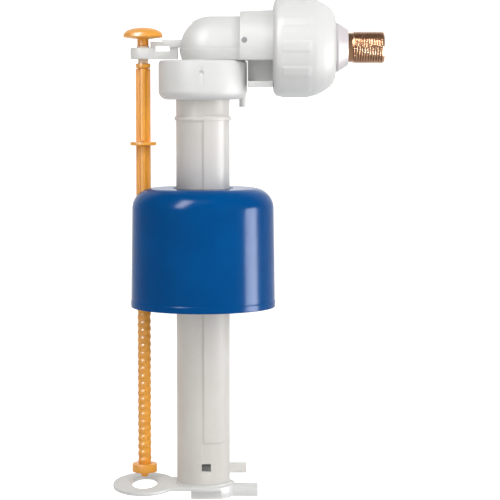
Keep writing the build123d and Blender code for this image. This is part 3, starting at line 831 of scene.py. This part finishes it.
@dataclass
class FloatGroup:
    """The float's outer skin and its screw insert."""

    dresser: Dresser
    edge: float = 10.5
    bore: float = 15.4
    taper: float = 0.9
    insert_r: float = 5.5
    rod_hole_r: float = 4.3

    def build(self) -> None:
        """Makes and places the float's pieces."""
        place = self.dresser.place
        place(self.shell(), BLUE, "float", "float_shell", "float_base")
        self.dresser.keep("float_nut", ORANGE)

    def shell(self) -> bpy.types.Object:
        """Outer skin of the float, turned about the pipe, with the rod's passage cut through it.

        The outline runs from the bottom's outer edge up the tapered side, round a quarter circle to
        the top and down the pipe passage. It stops there, so the skin is open underneath and its
        faces point inwards. This is a known fault: the outline should be joined to its start.
        """
        low, high = node_box("float_shell")
        floor = node_box("float_base")[0][2]
        top = high[2]
        wide = (high[0] - low[0]) / 2
        axis_x = (low[0] + high[0]) / 2
        narrow, edge, bore = wide - self.taper, self.edge, self.bore
        turn = np.linspace(0, np.pi / 2, 16)
        wall = [(floor, bore + 0.02), (floor, wide - 0.02), (floor + 3.2, wide), (floor + 3.6, wide - 0.25),
                (floor + 4.1, wide - 0.22), (top - edge, narrow)]
        side = softened(wall, 0.5, 4, closed=False)
        crown = np.column_stack([top - edge + edge * np.sin(turn), narrow - edge + edge * np.cos(turn)])
        mouth = [(top, narrow - edge), (top, bore + 1.8), (top, bore + 0.4), (top - 0.6, bore), (floor, bore)]
        rim = softened(mouth, 0.4, 3, closed=False)
        outline = densified(np.vstack([side[1:-1], crown, rim[1:]]), 1.2)
        body = turned("float_bell", outline, Axis.UPRIGHT, axis_x, 192, False)
        nut_low, nut_high = node_box("float_nut")
        rod_x = (nut_low[0] + nut_high[0]) / 2
        step = nut_high[2] + 0.1
        outside = np.array([(floor - 1, 0), (floor - 1, self.insert_r), (step, self.insert_r),
                            (step, self.rod_hole_r), (top + 1, self.rod_hole_r), (top + 1, 0)])
        cutter = turned("passage", outside, Axis.UPRIGHT, rod_x, 48, False)
        return cut(body, [cutter])


# ---------------------------------------------------------------- studio


class Reach(Enum):
    """What a softbox does to the valve."""

    SHADING = "diffuse"
    GLOSS = "glossy"


@dataclass
class Studio:
    """Floor, lights, world and camera."""

    target: tuple[float, float, float] = (-50.4, 0.0, -104.8)
    distance: float = 1000.0
    eye_z: float = -22.0
    frame_height: float = 260.0
    floor_drop: float = 90.0
    floor_glow: float = 0.6
    horizon: float = 0.72
    zenith: float = 0.25

    def build(self) -> None:
        """Sets the whole studio."""
        self.backdrop()
        self.world()
        self.softbox("right_soft", (460, -420, 200), (300, 500), 2.0, Reach.SHADING, (0.94, 0.97, 1.0))
        self.softbox("top_soft", (-60, -520, 700), (360, 300), 4.2, Reach.SHADING)
        self.softbox("right_gloss", (500, -66, -300), (260, 620), 32.0, Reach.GLOSS)
        self.softbox("left_gloss", (-490, -560, 470), (230, 800), 44.0, Reach.GLOSS)
        self.camera()

    def backdrop(self) -> None:
        """Pale floor that curves up into a wall, and glows away from the valve's foot.

        It is a flat run, a quarter circle and an upright run.
        """
        floor_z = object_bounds()[0][2] / MM - self.floor_drop
        bend = 600.0
        turn = np.linspace(0, np.pi / 2, 24)
        depth = np.concatenate([[-2500.0], 1400 + bend * np.sin(turn), [1400 + bend]])
        height = np.concatenate([[floor_z], floor_z + bend * (1 - np.cos(turn)), [floor_z + 3000]])
        across = np.linspace(-3000, 3000, 5)
        points = np.zeros((len(depth), len(across), 3))
        points[:, :, 0] = across
        points[:, :, 1] = depth[:, None]
        points[:, :, 2] = height[:, None]
        sweep = mesh_from_grid("floor_sweep", points, False, False)
        material = bpy.data.materials.new("pale_floor")
        material.use_nodes = True
        surface = material.node_tree.nodes["Principled BSDF"]
        surface.inputs["Base Color"].default_value = (0.82, 0.82, 0.82, 1.0)
        surface.inputs["Roughness"].default_value = 0.9
        surface.inputs["Emission Strength"].default_value = self.floor_glow
        wiring = Wiring(material.node_tree)
        flat = wiring.add("VectorMath", operation="MULTIPLY")
        wiring.join(wiring.add("TexCoord").outputs["Object"], flat.inputs[0])
        flat.inputs[1].default_value = (1.0, 1.0, 0.0)
        away = wiring.add("VectorMath", operation="DISTANCE")
        wiring.join(flat.outputs["Vector"], away.inputs[0])
        away.inputs[1].default_value = (0.0, -0.45, 0.0)
        glow = wiring.spread(away.outputs["Value"], 0.6, 0.85, (0.0, 1.0))
        wiring.join(glow, surface.inputs["Emission Color"])
        sweep.data.materials.append(material)
        sweep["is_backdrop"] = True

    def world(self) -> None:
        """Slightly warm white surroundings, brighter at the horizon than overhead."""
        world = bpy.data.worlds.new("surroundings")
        world.use_nodes = True
        background = world.node_tree.nodes["Background"]
        background.inputs["Color"].default_value = (1.0, 0.985, 0.965, 1.0)
        wiring = Wiring(world.node_tree)
        up = wiring.add("SeparateXYZ")
        wiring.join(wiring.add("TexCoord").outputs["Generated"], up.inputs[0])
        strength = wiring.spread(up.outputs["Z"], 0.15, 0.8, (self.horizon, self.zenith))
        wiring.join(strength, background.inputs["Strength"])
        bpy.context.scene.world = world
        bpy.context.scene.view_settings.view_transform = "Standard"

    def softbox(
        self,
        name: str,
        place: Sequence[float],
        size: Sequence[float],
        power: float,
        reach: Reach,
        tint: Sequence[float] = (1.0, 1.0, 1.0),
    ) -> None:
        """Adds a rectangular light that faces the middle of the valve.

        Args:
            name: the light's name.
            place: where it stands, in millimetres.
            size: its width and height, in millimetres.
            power: its power, in watts.
            reach: whether it shades the valve or is only mirrored in its gloss.
            tint: colour of its light.
        """
        data = bpy.data.lights.new(name, "AREA")
        data.shape = "RECTANGLE"
        data.size, data.size_y = size[0] * MM, size[1] * MM
        data.energy = power
        data.color = tint
        light = bpy.data.objects.new(name, data)
        light.visible_diffuse = reach is Reach.SHADING
        light.visible_glossy = reach is Reach.GLOSS
        light.location = Vector(place) * MM
        aim = Vector(self.target) * MM - light.location
        light.rotation_euler = aim.to_track_quat("-Z", "Y").to_euler()
        bpy.context.scene.collection.objects.link(light)

    def camera(self) -> None:
        """Long-lens camera level with the head, aimed at the middle of the valve."""
        data = bpy.data.cameras.new("camera")
        camera = bpy.data.objects.new("camera", data)
        bpy.context.scene.collection.objects.link(camera)
        target = Vector(self.target) * MM
        camera.location = Vector((self.target[0], -self.distance, self.eye_z)) * MM
        view = target - camera.location
        data.sensor_fit = "HORIZONTAL"
        data.angle = 2 * math.atan(self.frame_height * MM / 2 / view.length)
        camera.rotation_euler = view.to_track_quat("-Z", "Y").to_euler()
        bpy.context.scene.camera = camera


def main() -> None:
    """Builds the studio and the valve's sub-assemblies."""
    logging.basicConfig(level=logging.INFO, format="%(name)s %(message)s")
    Studio().build()
    dresser = Dresser()
    for group in (InletGroup, Head, Column, LevelRod, FloatGroup):
        group(dresser).build()
    bpy.context.view_layer.update()


if __name__ == "__main__":
    main()
